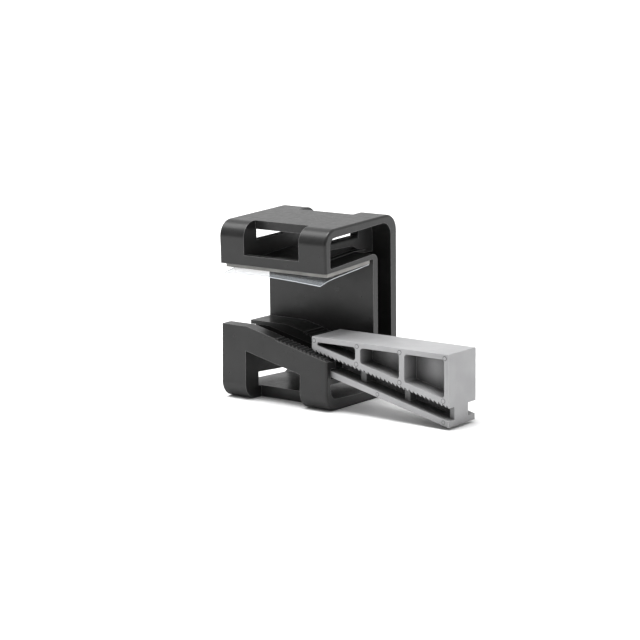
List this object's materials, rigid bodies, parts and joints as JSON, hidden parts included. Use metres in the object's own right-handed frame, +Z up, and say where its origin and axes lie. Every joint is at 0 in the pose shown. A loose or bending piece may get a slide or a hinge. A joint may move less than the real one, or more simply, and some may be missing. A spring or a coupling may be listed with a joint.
{
  "type": "edge clamp",
  "caption": "C-shaped plastic edge clamp with a sliding ratchet wedge, a grip pad and strap windows in its jaws",
  "frame": {"origin": "middle of the clamp frame's underside", "axes": "+X along the mouth, the way the wedge pulls out; +Y from the mouth to the back; +Z up"},
  "size_m": [0.1064, 0.0496, 0.0723],
  "materials": {
    "frame_plastic": "fine textured black nylon",
    "wedge_plastic": "satin light grey moulding",
    "pad_foam": "pale grey soft grip pad",
    "clear_film": "thin clear film"
  },
  "bodies": {
    "frame": {"clamp_frame": "frame_plastic", "grip_pad": "pad_foam", "release_film": "clear_film"},
    "wedge": {"ratchet_wedge": "wedge_plastic"}
  },
  "joints": [
    {"name": "wedge_slide", "type": "slide", "parent": "frame", "child": "wedge", "axis": [-0.9744, 0, 0.225], "range_m": [-0.0039, 0.04095]}
  ]
}
